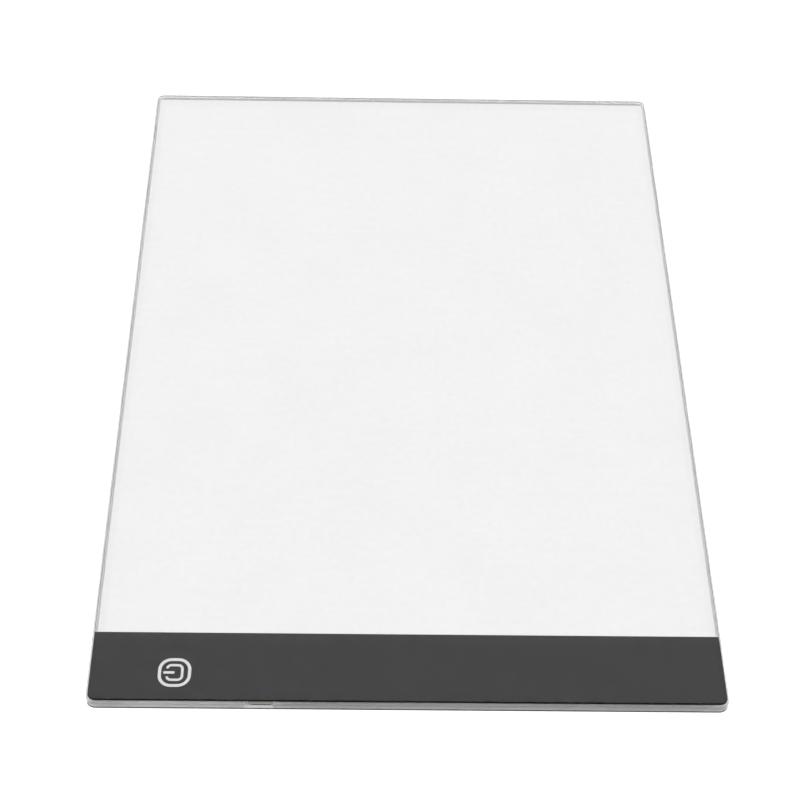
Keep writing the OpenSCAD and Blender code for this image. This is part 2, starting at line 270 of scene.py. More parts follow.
class Finish:
    """A node material being made."""

    def __init__(self, name):
        self.mat = bpy.data.materials.new(name)
        self.mat.use_nodes = True
        self.tree = self.mat.node_tree
        self.tree.nodes.clear()
        self.place = self.node("TexCoord").outputs["Object"]

    def node(self, kind, **inputs):
        """A new node. inputs: a value or another node's socket for each input."""
        made = self.tree.nodes.new("ShaderNode" + kind)
        for name, value in inputs.items():
            self.put(made.inputs[name.replace("_", " ")], value)
        return made

    def put(self, socket, value):
        """Links a socket to an input, or sets the input's own value."""
        if isinstance(value, bpy.types.NodeSocket):
            self.tree.links.new(value, socket)
        else:
            socket.default_value = value

    def show(self, shader):
        """Makes the shader the material's surface."""
        self.tree.links.new(shader.outputs[0], self.node("OutputMaterial").inputs["Surface"])
        return self.mat

    def noise(self, scale, detail=3.0, place=None):
        """Noise whose features are about 1/scale metres apart."""
        return self.node("TexNoise", Vector=place or self.place, Scale=scale, Detail=detail).outputs["Fac"]

    def ramp(self, value, low, high, start=0.0, end=1.0):
        """value from start to end, mapped to low..high."""
        made = self.node("MapRange", Value=value, From_Min=start, From_Max=end, To_Min=low, To_Max=high)
        return made.outputs["Result"]

    def math(self, operation, a, b=0.0):
        """One sum over one or two values."""
        made = self.node("Math")
        made.operation = operation
        self.put(made.inputs[0], a)
        self.put(made.inputs[1], b)
        return made.outputs[0]

    def axis(self, name):
        """One coordinate, in metres."""
        return self.node("SeparateXYZ", Vector=self.place).outputs[name]

    def stretched(self, x, y, z):
        """The coordinates scaled on each axis, for streaks."""
        made = self.node("Mapping", Vector=self.place)
        made.inputs["Scale"].default_value = (x, y, z)
        return made.outputs["Vector"]

    def blend(self, fac, low, high):
        """A colour between two colours."""
        made = self.node("Mix")
        made.data_type = "RGBA"
        self.put(made.inputs["Factor"], fac)
        self.put(made.inputs[6], low)
        self.put(made.inputs[7], high)
        return made.outputs[2]

    def shade(self, value):
        """The grey of a value that changes from place to place."""
        return self.node("CombineColor", Red=value, Green=value, Blue=value).outputs[0]

    def bump(self, height, distance):
        """A normal that follows a fine relief."""
        return self.node("Bump", Height=height, Distance=distance, Strength=1.0).outputs["Normal"]


def grey(value):
    """An even grey."""
    return (value, value, value, 1.0)


def plain(name, low, high, scale, rough, grain=0.0, grain_scale=4000, **sockets):
    """An opaque finish: colour and roughness drift between two values, over a fine grain."""
    f = Finish(name)
    cloud = f.ramp(f.noise(scale), 0, 1, 0.35, 0.65)
    shader = f.node("BsdfPrincipled", Base_Color=f.blend(cloud, low, high),
                    Roughness=f.ramp(cloud, *rough), **sockets)
    if grain:
        f.put(shader.inputs["Normal"], f.bump(f.noise(grain_scale, 2.0), grain * MM))
    return f.show(shader)


def clear_acrylic(name, rough, streak=(1, 1, 1), dark=0.98, light=0.99, clear=1.0, painted_glow=0.0):
    """Solid clear acrylic. rough: lowest and highest roughness; dark, light: its tint.
    clear: below 1 where sawn. painted_glow: emission, a painted glow that stands in for the daylight the
    plate gathers and lets out at an edge."""
    f = Finish(name)
    streaks = f.ramp(f.noise(900, 3.0, f.stretched(*streak)), 0, 1, 0.3, 0.7)
    return f.show(f.node("BsdfPrincipled", Base_Color=f.blend(streaks, grey(dark), grey(light)), IOR=1.49,
                         Transmission_Weight=clear, Roughness=f.ramp(streaks, *rough),
                         Emission_Color=grey(1.0), Emission_Strength=painted_glow))


def cover_face(name):
    """The cover's polished face: see-through, with the mirror share of acrylic and a faint haze."""
    f = Finish(name)
    haze = f.ramp(f.noise(40, 4.0), 0.03, 0.08, 0.3, 0.7)
    see = f.node("BsdfTransparent", Color=grey(0.99))
    gloss = f.node("BsdfGlossy", Color=grey(1.0), Roughness=haze)
    outside = f.math("SUBTRACT", 1.0, f.node("NewGeometry").outputs["Backfacing"])
    mirror = f.math("MULTIPLY", f.node("Fresnel", IOR=1.49).outputs[0], outside)
    body = f.node("MixShader", Fac=mirror)
    f.put(body.inputs[1], see.outputs[0])
    f.put(body.inputs[2], gloss.outputs[0])
    return f.show(body)


def see_through(name, share):
    """A clear face that neither bends nor mirrors light. share: how much of it passes."""
    f = Finish(name)
    passed = f.ramp(f.noise(400), share - 0.01, share + 0.01, 0.3, 0.7)
    return f.show(f.node("BsdfTransparent", Color=f.shade(passed)))


def ink_black(name):
    """The black print: slightly cloudy, paler towards its far edge, with a few specks of dust over it."""
    f = Finish(name)
    low, high = 0.014, 0.021
    clouds = f.ramp(f.noise(300), low, high, 0.35, 0.65)
    far = f.ramp(f.axis("Y"), 0, 0.008, MASK_HI.y - 5 * MM, MASK_HI.y)
    cells = f.node("TexVoronoi", Vector=f.place, Scale=140)
    chosen = f.math("GREATER_THAN", f.node("SeparateColor", Color=cells.outputs["Color"]).outputs[0], 0.9)
    speck = f.ramp(cells.outputs["Distance"], 0.07, 0, 0.03, 0.06)
    black = f.math("ADD", f.math("ADD", clouds, far), f.math("MULTIPLY", speck, chosen))
    return f.show(f.node("BsdfPrincipled", Base_Color=f.shade(black), Specular_IOR_Level=0.0,
                         Roughness=f.ramp(clouds, 0.5, 0.6, low, high)))


FILM_WHITE = 0.84
FILM_SHADE = 0.02        # how much darker the film is over the tape frame
DOT_ROW = 3.9 * MM       # the guide's dots: the length of two rows
DOT_PITCH = 3.9 * MM     # and from dot to dot along a row


def film_white(name):
    """The diffuser film: a shade darker over the tape frame, the guide's dots and rows faint through it."""
    f = Finish(name)
    x, y = f.axis("X"), f.axis("Y")
    soft = 0.3 * MM
    side = f.ramp(f.math("ABSOLUTE", x), 0, 1, WINDOW_HALF - soft, WINDOW_HALF + soft)
    far = f.ramp(y, 0, 1, WINDOW_FAR - soft, WINDOW_FAR + soft)
    over_tape = f.math("MAXIMUM", side, far)
    row = f.math("SINE", f.math("MULTIPLY", y, 2 * math.pi / DOT_ROW))
    column = f.math("SINE", f.math("MULTIPLY", x, math.pi / DOT_PITCH))
    lattice = f.math("MULTIPLY", f.math("ABSOLUTE", f.math("MULTIPLY", row, column)), -0.004)
    streaks = f.ramp(f.noise(60, 2.0, f.stretched(20, 0.4, 1)), -0.008, 0.008, 0.3, 0.7)
    rows = f.ramp(f.noise(60, 2.0, f.stretched(0.4, 12, 1)), -0.004, 0.004, 0.3, 0.7)
    clouds = f.ramp(f.noise(30, 3.0), FILM_WHITE - 0.008, FILM_WHITE + 0.008, 0.3, 0.7)
    window = f.math("ADD", clouds, f.math("ADD", rows, lattice))
    border = f.math("SUBTRACT", streaks, FILM_SHADE)
    white = f.math("ADD", window, f.math("MULTIPLY", over_tape, border))
    return f.show(f.node("BsdfPrincipled", Base_Color=f.shade(white), Specular_IOR_Level=0.0,
                         Roughness=f.ramp(clouds, 0.5, 0.6, 0.8, 0.84)))


ACRYLIC_FACE = clear_acrylic("acrylic_face", (0.01, 0.04))
CONTACT_FACE = see_through("contact_face", 0.98)
# The edge finishes' last number is a painted glow: emission that stands in for daylight let out at the
# plates' edges, strongest on the side walls.
ACRYLIC_EDGE = clear_acrylic("acrylic_edge_painted_glow", (0.75, 0.9), (0.2, 0.2, 1), 0.85, 0.9, 0.5, 0.1)
SIDE_EDGE = clear_acrylic("side_edge_painted_glow", (0.75, 0.9), (0.2, 0.2, 1), 0.97, 0.99, 0.8, 0.36)
FRONT_EDGE = clear_acrylic("front_edge_painted_glow", (0.3, 0.45), (0.06, 1, 2), 0.86, 0.99, 0.9, 0.07)
PLATE = [ACRYLIC_FACE, ACRYLIC_EDGE, CONTACT_FACE, SIDE_EDGE, FRONT_EDGE]
FACE, EDGE, CONTACT, SIDE, FRONT = range(5)      # their places in PLATE
COVER_FACE = cover_face("cover_face")
# The cover's wall lets only 0.62 of the light through: painted shade standing in for the dark line that
# refraction and internal reflection give its thin edge.
COVER_EDGE_PAINTED_SHADE = see_through("cover_edge_painted_shade", 0.62)
BLACK_INK = ink_black("black_ink")
WHITE_INK = plain("white_ink", grey(0.66), grey(0.7), 800, (0.5, 0.6), Specular_IOR_Level=0.0)
FILM = film_white("diffuser_white")
TAPE = plain("clear_tape", grey(0.88), grey(0.92), 500, (0.3, 0.4))
TAPE_FACE = plain("clear_tape_face", grey(0.36), grey(0.42), 700, (0.3, 0.4))
REFLECTOR = plain("reflector_white", grey(0.86), grey(0.9), 500, (0.4, 0.5))
# The white back panel's rim wall is painted near black: painted shade under the pad's edge.
BACK_EDGE_PAINTED_SHADE = plain("back_edge_painted_shade", grey(0.05), grey(0.08), 900, (0.5, 0.6), 0.01, 3000)
BACK = plain("back_white", grey(0.87), grey(0.9), 400, (0.4, 0.5), 0.01, 3000)
BOARD_EDGE = plain("board_edge", (0.24, 0.235, 0.2, 1), (0.3, 0.29, 0.25, 1), 2000, (0.5, 0.6), 0.006, 9000)
# The board's top face is a dark grey, far darker than its white underside.
BOARD_TOP = plain("board_top_dark", (0.22, 0.22, 0.2, 1), (0.26, 0.26, 0.24, 1), 900, (0.5, 0.6), 0.004, 3000)
BOARD = plain("board_white", (0.74, 0.75, 0.7, 1), (0.8, 0.8, 0.76, 1), 300, (0.3, 0.4), 0.004, 1500)
TIN = plain("tin", grey(0.62), grey(0.75), 3000, (0.2, 0.4), 0.004, 6000, Metallic=1.0)
NICKEL = plain("nickel", (0.74, 0.73, 0.71, 1), (0.78, 0.77, 0.75, 1), 1500, (0.38, 0.48), 0.002, 5000,
               Metallic=1.0)
GOLD = plain("gold", (0.85, 0.6, 0.25, 1), (0.92, 0.7, 0.35, 1), 4000, (0.2, 0.3), Metallic=1.0)
COPPER = plain("copper", (0.8, 0.4, 0.25, 1), (0.9, 0.5, 0.33, 1), 900, (0.25, 0.45), Metallic=1.0)
HOUSING = plain("led_housing", (0.86, 0.86, 0.82, 1), (0.92, 0.92, 0.88, 1), 2000, (0.35, 0.45))
PHOSPHOR = plain("phosphor", (0.82, 0.62, 0.08, 1), (0.9, 0.72, 0.14, 1), 6000, (0.15, 0.25))
EPOXY = plain("black_epoxy", grey(0.018), grey(0.03), 3000, (0.5, 0.65), 0.008, 9000)
PLASTIC = plain("connector_black", grey(0.015), grey(0.025), 2500, (0.35, 0.5), 0.004, 8000)
CERAMIC = plain("capacitor_tan", (0.36, 0.23, 0.13, 1), (0.45, 0.3, 0.18, 1), 4000, (0.4, 0.55), 0.006, 9000)
ALUMINA = plain("alumina", grey(0.75), grey(0.82), 5000, (0.4, 0.5))
TANTALUM = plain("tantalum_yellow", (0.75, 0.42, 0.06, 1), (0.82, 0.5, 0.09, 1), 2500, (0.4, 0.5),
                 0.006, 9000)
RED = plain("wire_red", (0.5, 0.02, 0.015, 1), (0.58, 0.03, 0.02, 1), 1500, (0.25, 0.35))
BLACK_WIRE = plain("wire_black", grey(0.015), grey(0.025), 1500, (0.25, 0.35))
FOAM = plain("foam_tape", (0.78, 0.78, 0.72, 1), (0.84, 0.84, 0.78, 1), 2500, (0.7, 0.8), 0.02, 7000)
SILICONE = plain("silicone", (0.5, 0.51, 0.51, 1), (0.56, 0.57, 0.57, 1), 600, (0.45, 0.6), 0.01, 5000,
                 Subsurface_Weight=0.3, Subsurface_Scale=0.001)


# ---- pieces -----------------------------------------------------------------

def add_object(name, data):
    """A new object of a mesh or a camera, in the scene."""
    obj = bpy.data.objects.new(name, data)
    bpy.context.scene.collection.objects.link(obj)
    return obj


def add_mesh_object(name, bm):
    """A new object of a bmesh, which is used up."""
    bmesh.ops.recalc_face_normals(bm, faces=bm.faces)
    mesh = bpy.data.meshes.new(name)
    bm.to_mesh(mesh)
    bm.free()
    return add_object(name, mesh)


def piece(name, bm, nodes, materials):
    """Makes an object of a bmesh, standing for CAD nodes."""
    obj = add_mesh_object(name, bm)
    for mat in materials:
        obj.data.materials.append(mat)
    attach(obj, BODY)
    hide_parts(*nodes)
    return obj


def sheet(name, node, loops, mats):
    """A film or tape: the CAD sheet's outline, with a hair of air above and below it.
    mats: its material, and one for its top face if that has its own."""
    lo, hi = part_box(node)
    bm = bmesh.new()
    add_solid(bm, loops, rim(lo.z + AIR, hi.z - AIR, 0), slots=(0, 0, len(mats) - 1))
    piece(name, bm, [node], mats)


def make_blocks(name, node, mat, bevel, shrink=0.0):
    """Each solid of a CAD node as a block with rounded edges."""
    bm = bmesh.new()
    for lo, hi in islands(node):
        add_block(bm, lo, hi, bevel, shrink=shrink)
    piece(name, bm, [node], [mat])


def cut(obj, blocks):
    """Takes boxes out of a piece. blocks: (lowest, highest corner)."""
    bm = bmesh.new()
    for lo, hi in blocks:
        add_solid(bm, [rounded(lo, hi, 0)], [(0, lo[2]), (0, hi[2])], slots=(1, 1, 1))
    cutter = add_mesh_object("cutter", bm)
    modifier = obj.modifiers.new("cut", "BOOLEAN")
    modifier.operation = "DIFFERENCE"
    modifier.solver = "EXACT"
    modifier.object = cutter
    graph = bpy.context.evaluated_depsgraph_get()
    obj.data = bpy.data.meshes.new_from_object(obj.evaluated_get(graph))
    obj.modifiers.clear()
    bpy.data.objects.remove(cutter)


def make_cover():
    """The clear cover, which stands in from the edge of the plates below it."""
    bm = bmesh.new()
    add_solid(bm, [outline(EDGE_STEP)], rim(COVER_LO.z + AIR, COVER_HI.z, 0.08 * MM), slots=(1, 2, 0))
    piece("cover", bm, ["cover_sheet"], [COVER_FACE, CONTACT_FACE, COVER_EDGE_PAINTED_SHADE])


def half_outline(by, y0, y1):
    """The stretch of the pad's outline from y0 to y1. An end that is the pad's own keeps its corners."""
    r = CORNER_R - by
    front = r if y0 < BACK_LO.y + by + MM else 0
    far = r if y1 > BACK_HI.y - by - MM else 0
    return rounded((BACK_LO.x + by, y0), (BACK_HI.x - by, y1), (front, front, far, far), 12)


def tell_walls(bm):
    """Gives a clear plate's butt joint, side walls and front wall their own materials of PLATE."""
    for face in bm.faces:
        middle = face.calc_center_median()
        if face.material_index != EDGE:
            continue
        if abs(middle.y - BAR_HI.y) < 2 * AIR:
            face.material_index = CONTACT
        elif abs(middle.x) > BACK_HI.x - 0.5 * MM:
            face.material_index = SIDE
        elif middle.y < BAR_LO.y + MM:
            face.material_index = FRONT


def make_light_guide():
    """The clear plate behind the front bar."""
    bm = bmesh.new()
    add_solid(bm, [half_outline(0, GUIDE_LO.y + AIR, GUIDE_HI.y)],
              rim(GUIDE_LO.z + AIR, GUIDE_HI.z - AIR, 0.12 * MM), slots=(CONTACT, EDGE, FACE))
    tell_walls(bm)
    piece("light_guide_plate", bm, ["light_guide"], PLATE)


def make_front_bar():
    """The bar in front of the light guide, with notch, pocket, LED slot and wire groove."""
    y, slot_y = BAR_HI.y, STRIP_TAPE_LO.y
    far = [(BACK_HI.x, y), (SLOT_HALF, y), (SLOT_HALF, slot_y), (-SLOT_HALF, slot_y), (-SLOT_HALF, y),
           (BACK_LO.x, y)]
    bm = bmesh.new()
    add_solid(bm, [filleted(front_path(BAR_LO.y, BAR_LO.x, BAR_HI.x, far), 10)],
              rim(BAR_LO.z + AIR, BAR_HI.z - AIR, 0.12 * MM), slots=(CONTACT, EDGE, FACE))
    tell_walls(bm)
    bar = piece("front_bar_plate", bm, ["front_bar"], PLATE)
    cut(bar, [((GROOVE[0], BOARD_HI.y, BAR_LO.z - MM), (GROOVE[1], slot_y + MM, BAR_LO.z + GROOVE_H))])


def make_films():
    """The diffuser, whose two far corners are slightly round, and the reflector."""
    sheet("diffuser", "diffuser_film",
          [rounded(FILM_LO, FILM_HI, (0, 0, 0.4 * MM, 0.4 * MM))], [FILM])
    sheet("reflector", "reflector_film", [rounded(REFLECTOR_LO, REFLECTOR_HI, 0)],
          [REFLECTOR])


def make_tapes():
    """Die-cut tape frames above and below the clear plates."""
    window = rounded((-WINDOW_HALF, STRIP_TAPE_LO.y), (WINDOW_HALF, WINDOW_FAR), 0)
    far = [(BACK_HI.x - FILM_INSET, BACK_HI.y - FILM_INSET, CORNER_R - FILM_INSET),
           (BACK_LO.x + FILM_INSET, BACK_HI.y - FILM_INSET, CORNER_R - FILM_INSET)]
    path = front_path(BACK_LO.y + FILM_INSET, BACK_LO.x + FILM_INSET, BACK_HI.x - FILM_INSET, far)
    for node, name in (("front_tape", "front_tape_frame"), ("back_tape", "back_tape_frame")):
        sheet(name, node, [filleted(path), hole(window)], [TAPE, TAPE_FACE])


# ---- the touch key ----------------------------------------------------------

RING_R, RING_W = 4.9 * MM, 1.2 * MM
MARK_HALF = (3.3 * MM, 3.6 * MM)
MARK_R, MARK_W = 2.1 * MM, 1.0 * MM
MARK_END = math.radians(22)              # where the open C stops, up its left corners
DASH = (4.1 * MM, 1.05 * MM, 0.3 * MM)   # length, width and corner radius of the bar in the C


def ring_loops():
    """The outer and inner outline of the ring around the key."""
    grown = [tuple(c + s * RING_W for c, s in zip(corner, sides))
             for corner, sides in ((RING_LO.xy, (1, 1)), (RING_HI.xy, (-1, -1)))]
    return rounded(RING_LO, RING_HI, RING_R, 14), rounded(grown[0], grown[1], RING_R - RING_W, 14)


def mark_loops():
    """An open C and the bar that runs into it."""
    cx, cy = MARK_HALF[0] - MARK_R, MARK_HALF[1] - MARK_R
    quarter = math.pi / 2
    corners = [((KEY[0] + sx * cx, KEY[1] + sy * cy), start, stop) for sx, sy, start, stop in (
        (-1, -1, math.pi + MARK_END, 3 * quarter), (1, -1, 3 * quarter, 4 * quarter),
        (1, 1, 0, quarter), (-1, 1, quarter, math.pi - MARK_END))]
    outer = [p for centre, start, stop in corners for p in arc(centre, MARK_R, start, stop, 10)]
    inner = [p for centre, start, stop in reversed(corners)
             for p in arc(centre, MARK_R - MARK_W, stop, start, 10)]
    caps = []
    for (centre, start, stop), angle in ((corners[3], math.pi - MARK_END), (corners[0], math.pi + MARK_END)):
        reach = MARK_R - MARK_W / 2
        tip = (centre[0] + reach * math.cos(angle), centre[1] + reach * math.sin(angle))
        first = angle if angle < math.pi else angle - math.pi
        caps.append(arc(tip, MARK_W / 2, first, first + math.pi, 8)[1:-1])
    x, y = KEY[0], KEY[1]
    dash = rounded((x - DASH[0], y - DASH[1] / 2), (x, y + DASH[1] / 2), DASH[2], 5)
    return outer + caps[0] + inner + caps[1], dash


def make_band():
    """The black print with its windows, and the white print that fills them."""
    outer, inner = ring_loops()
    letter, dash = mark_loops()
    band = half_outline(EDGE_STEP, MASK_LO.y, MASK_HI.y)
    loops = [band, hole(outer)]
    bm = bmesh.new()
    profile = rim(MASK_LO.z + AIR, MASK_HI.z, 0)
    add_solid(bm, loops, profile)
    add_solid(bm, [inner, hole(letter), hole(dash)], profile)
    piece("black_band", bm, ["band_mask"], [BLACK_INK])
    for name, node, parts in (("key_ring", "touch_ring", [[outer, hole(inner)]]),
                              ("key_mark", "power_mark", [[letter], [dash]])):
        bm = bmesh.new()
        for part in parts:
            add_solid(bm, [inset(loop, AIR) for loop in part], profile)
        piece(name, bm, [node], [WHITE_INK])


# ---- back panel and feet ----------------------------------------------------

def make_back_panel():
    """The white panel that closes the back; its rim wall is painted near black as shade."""
    bm = bmesh.new()
    add_solid(bm, [outline()], rim(BACK_LO.z, BACK_HI.z - AIR, 0.12 * MM), slots=(0, 1, 0))
    piece("back_panel", bm, ["back_sheet"], [BACK, BACK_EDGE_PAINTED_SHADE])


def make_feet():
    """Stick-on silicone domes with a flat sole."""
    bm = bmesh.new()
    for lo, hi in islands("anti_slip_pads"):
        r, h = (hi.x - lo.x) / 2, hi.z - lo.z
        rounding = [(1 - 0.2 * (1 - math.sin(t)), 0.75 * (1 - math.cos(t)))
                    for t in [math.pi / 2 * k / 6 for k in range(7)]]
        place = Matrix.Translation(((lo.x + hi.x) / 2, (lo.y + hi.y) / 2, lo.z))
        add_turned(bm, place, [(r * a, h * b) for a, b in rounding] + [(r, h - AIR)])
    piece("silicone_feet", bm, ["anti_slip_pads"], [SILICONE])


# ---- LED strip --------------------------------------------------------------

def make_led_board():
    """The strip's board on edge, with tinned solder lands beside each LED."""
    bm = bmesh.new()
    add_block(bm, STRIP_LO, STRIP_HI, 0.05 * MM)
    mid = (STRIP_LO.z + STRIP_HI.z) / 2
    for lo, hi in islands("led_packages"):
        for x in (lo.x - 0.35 * MM, hi.x - 0.05 * MM):
            add_block(bm, Vector((x, STRIP_HI.y - AIR, mid - 0.5 * MM)),
                      Vector((x + 0.4 * MM, STRIP_HI.y + AIR, mid + 0.5 * MM)), 0.01 * MM, 1)
    piece("led_strip_board", bm, ["led_board"], [BOARD, TIN])


def make_leds():
    """White side-view housings, each with a reflector cup, two terminals and a domed yellow phosphor."""
    housings, lenses = bmesh.new(), bmesh.new()
    for (lo, hi), (lens_lo, lens_hi) in zip(islands("led_packages"), islands("led_phosphors")):
        centre = (lo + hi) / 2
        place = facing_front(centre.x, lo.y, centre.z)
        half = (hi - lo) / 2
        window = (lens_hi - lens_lo) / 2
        depth, cup = hi.y - lo.y, hi.y - lens_lo.y
        edge = 0.03 * MM

        def ring(w, h, z, r):
            return [place @ Vector((x, y, z)) for x, y in rounded((-w, -h), (w, h), r, 3)]

        w, h = half.x - edge, half.z
        add_skin(housings, [
            ring(w - edge, h - edge, 0, 0.08 * MM), ring(w, h, edge, 0.1 * MM),
            ring(w, h, depth - edge, 0.1 * MM), ring(w - edge, h - edge, depth, 0.08 * MM),
            ring(window.x + edge, window.z + edge, depth, 0.16 * MM),
            ring(window.x - edge, window.z - edge, depth - cup - AIR, 0.12 * MM),
        ])
        for side in (-1, 1):
            tip = centre.x + side * half.x
            near, far = sorted((tip, tip - side * 0.25 * MM))
            add_block(housings, Vector((near, lo.y, centre.z - 0.42 * MM)),
                      Vector((far, lo.y + 0.45 * MM, centre.z + 0.42 * MM)), 0.03 * MM, 1)
        w, h = window.x - 2 * edge, window.z - 2 * edge
        dome = [(1, 0.0), (1, 0.55), (0.97, 0.8), (0.88, 0.94), (0.7, 1.0)]
        base = depth - cup
        add_skin(lenses, [ring(w - (1 - a) * h, h * a, base + cup * b, 0.12 * MM * a) for a, b in dome])
    piece("led_housings", housings, ["led_packages"], [HOUSING, TIN])
    piece("led_lenses", lenses, ["led_phosphors"], [PHOSPHOR])


def add_chip(bm, lo, hi, axis, up):
    """A chip resistor's body: a ceramic base with a black glaze on the side that axis and up name."""
    share = 0.7
    cut_lo, cut_hi = lo.copy(), hi.copy()
    edge = 0.03 * MM
    if up:
        cut_lo[axis] = cut_hi[axis] = lo[axis] + share * (hi[axis] - lo[axis])
    else:
        cut_lo[axis] = cut_hi[axis] = hi[axis] - share * (hi[axis] - lo[axis])
    base, glaze = ((lo, cut_hi), (cut_lo, hi)) if up else ((cut_lo, hi), (lo, cut_hi))
    add_block(bm, base[0], base[1], edge, 0, shrink=0.4 * edge)
    add_block(bm, glaze[0], glaze[1], edge, 1, shrink=edge)


def make_chip_parts():
    """Resistors on the strip and the board, ceramic capacitors, and the tinned caps on all their ends."""
    for name, node, axis, up in (("strip_resistors", "led_resistors", 1, True),
                                 ("board_resistors", "chip_resistors", 2, False)):
        bm = bmesh.new()
        for lo, hi in islands(node):
            add_chip(bm, lo, hi, axis, up)
        piece(name, bm, [node], [ALUMINA, EPOXY])
    make_blocks("board_capacitors", "ceramic_capacitors", CERAMIC, 0.06 * MM, 0.02 * MM)
    make_blocks("tinned_end_caps", "chip_end_caps", TIN, 0.05 * MM)


# ---- control board ----------------------------------------------------------

BOARD_R = 1 * MM
VIAS = ((3.5, 12.0), (6.0, 5.5), (20.5, 12.6), (24.0, 4.2),      # from the board's corner, in mm
        (34.0, 13.2), (43.5, 9.0), (52.0, 12.4), (55.5, 4.0))


def make_control_board():
    """The board, white below and dark grey on its top face and cut edge, with its tongue, drilled vias and
    tinned lands.
    """
    x0, x1, y0, y1 = BOARD_LO.x, BOARD_HI.x, BOARD_HI.y - BOARD_DEPTH, BOARD_HI.y
    tab = (USB_X - BOARD_TAB / 2, USB_X + BOARD_TAB / 2)
    edge = filleted([
        (x0, y0, BOARD_R), (tab[0], y0, 0.4 * MM), (tab[0], BOARD_LO.y, 0.4 * MM),
        (tab[1], BOARD_LO.y, 0.4 * MM), (tab[1], y0, 0.4 * MM), (x1, y0, BOARD_R), (x1, y1, BOARD_R),
        (x0, y1, BOARD_R)], 6)
    vias = [hole(circle((x0 + x * MM, y0 + y * MM), 0.25 * MM, 12)) for x, y in VIAS]
    bm = bmesh.new()
    add_solid(bm, [edge, *vias], rim(BOARD_LO.z, BOARD_HI.z - AIR, 0), slots=(0, 1, 3))
    land = Vector((0.1, 0.1, 0)) * MM
    for node in ("touch_chip_leads", "driver_transistor_leads", "chip_end_caps"):
        for lo, hi in islands(node):
            if hi.z > BOARD_LO.z - 0.1 * MM and lo.y < y1 - MM:
                foot_lo = Vector((lo.x, lo.y, BOARD_LO.z - AIR)) - land
                add_block(bm, foot_lo, Vector((hi.x, hi.y, BOARD_LO.z + AIR)) + land, 0.01 * MM, 2)
    piece("control_circuit_board", bm, ["control_board"],
          [BOARD, BOARD_EDGE, TIN, BOARD_TOP])


def make_moulded(name, node, dot):
    """A moulded chip body with drafted sides, and a pale dot at its first pin if it has one."""
    bm = bmesh.new()
    for lo, hi in islands(node):
        draft = 0.12 * MM
        high = hi.z - lo.z
        body = rounded(lo, hi, 0.08 * MM, 3)
        sides = [(draft + 0.03 * MM, lo.z + AIR), (draft, lo.z + 0.05 * MM), (0, lo.z + 0.55 * high),
                 (0, lo.z + 0.62 * high), (draft * 0.7, hi.z)]
        add_solid(bm, [body], sides)
        if dot:
            place = Matrix.Translation((lo.x + 0.9 * MM, lo.y + 0.9 * MM, lo.z))
            add_turned(bm, place, [(0.28 * MM, 0), (0.28 * MM, 2 * AIR)], 24, 1)
    piece(name, bm, [node], [EPOXY, ALUMINA])


def make_gull_leads(name, node, body_node):
    """Bent leads: a foot on the board, a riser and a short arm into the body."""
    body_lo, body_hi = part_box(body_node)
    thick, foot, bend = 0.15 * MM, 0.6 * MM, 0.12 * MM
    bm = bmesh.new()
    for lo, hi in islands(node):
        side = 1 if (lo.y + hi.y) / 2 > (body_lo.y + body_hi.y) / 2 else -1
        out, deep = hi.y - lo.y, hi.z - lo.z
        arm = deep - thick
        shape = filleted([
            (out, 0), (out, thick), (out - foot + thick, thick, bend), (out - foot + thick, deep, bend * 2),
            (0, deep), (0, arm), (out - foot, arm, bend), (out - foot, 0, bend * 2)], 5)
        place = hanging(lo.x, body_hi.y if side > 0 else body_lo.y, hi.z, side)
        add_solid(bm, [shape], rim(0, hi.x - lo.x, 0.02 * MM, 1), place)
    piece(name, bm, [node], [TIN])


def make_tantalum():
    """The moulded tantalum capacitor, with the brown stripe that marks its positive end."""
    lo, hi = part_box("bulk_capacitor")
    bm = bmesh.new()
    band = lo.x + 0.55 * MM
    add_block(bm, Vector((band, lo.y, lo.z)), hi, 0.1 * MM)
    add_block(bm, lo, Vector((band + 0.1 * MM, hi.y, hi.z)), 0.1 * MM, 1, shrink=0.005 * MM)
    piece("tantalum_capacitor", bm, ["bulk_capacitor"], [TANTALUM, CERAMIC])


def make_touch_pad():
    """The copper pad under the key, with a ring of small vias."""
    lo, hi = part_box("touch_electrode")
    vias = [hole(circle((KEY[0] + x, KEY[1] + y), 0.2 * MM, 10)) for x, y in circle((0, 0), 5 * MM, 8)]
    bm = bmesh.new()
    add_solid(bm, [circle(KEY, (hi.x - lo.x) / 2, 64), *vias], rim(lo.z, hi.z, 0.015 * MM))
    piece("copper_touch_pad", bm, ["touch_electrode"], [COPPER])


def make_board_tape():
    """Its edge runs round the copper pad, in a bite that opens through the far side."""
    lo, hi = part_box("board_tape")
    r = 6.3 * MM
    start = math.asin((hi.y - KEY[1]) / r)
    bite = arc(KEY, r, start, -math.pi - start, 48)
    sheet("board_foam_tape", "board_tape",
          [[(lo.x, lo.y), (hi.x, lo.y), (hi.x, hi.y), *bite, (lo.x, hi.y)]], [FOAM])


# ---- wires ------------------------------------------------------------------

